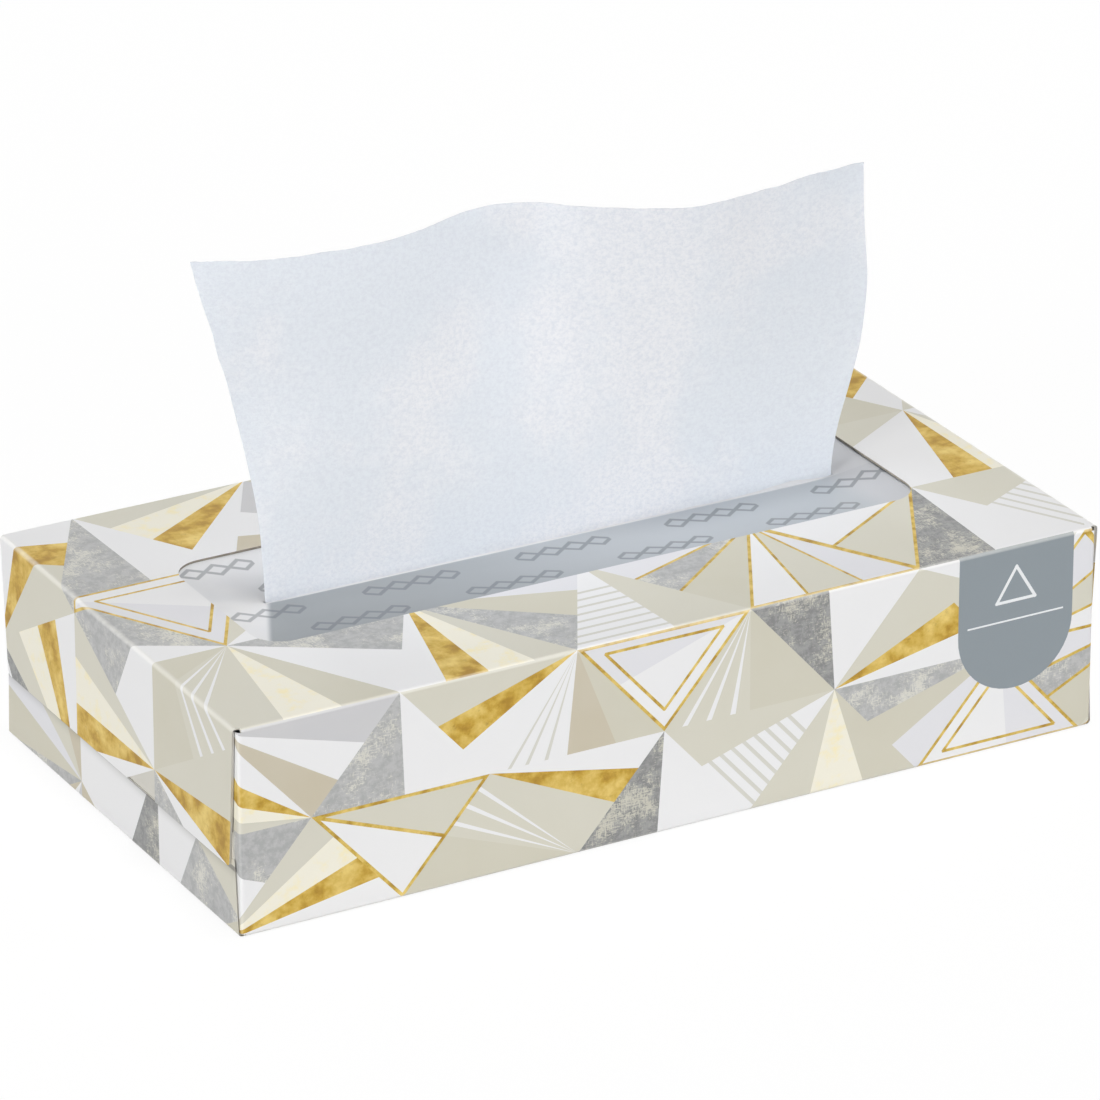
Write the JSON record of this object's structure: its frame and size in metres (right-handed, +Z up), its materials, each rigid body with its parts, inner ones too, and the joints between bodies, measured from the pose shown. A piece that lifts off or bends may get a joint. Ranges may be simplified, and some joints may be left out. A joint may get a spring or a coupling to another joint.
{
  "type": "tissue box",
  "caption": "Flat carton of interfolded facial tissues with a rounded window, a slit film under it and the first tissue standing up out of the slit",
  "frame": {"origin": "middle of the carton's underside", "axes": "+X runs along the box to the right, -Y faces the viewer, +Z is up"},
  "size_m": [0.232, 0.125, 0.1345],
  "materials": {
    "printed_board": "varnished print outside, raw grey board inside",
    "film": "thin milky film",
    "tissue": "soft two-ply tissue"
  },
  "bodies": {
    "root": {"carton": "printed_board", "window_film": "film", "popup_tissue": "tissue", "next_tissue": "tissue", "tissue_stack": "tissue"}
  },
  "joints": []
}
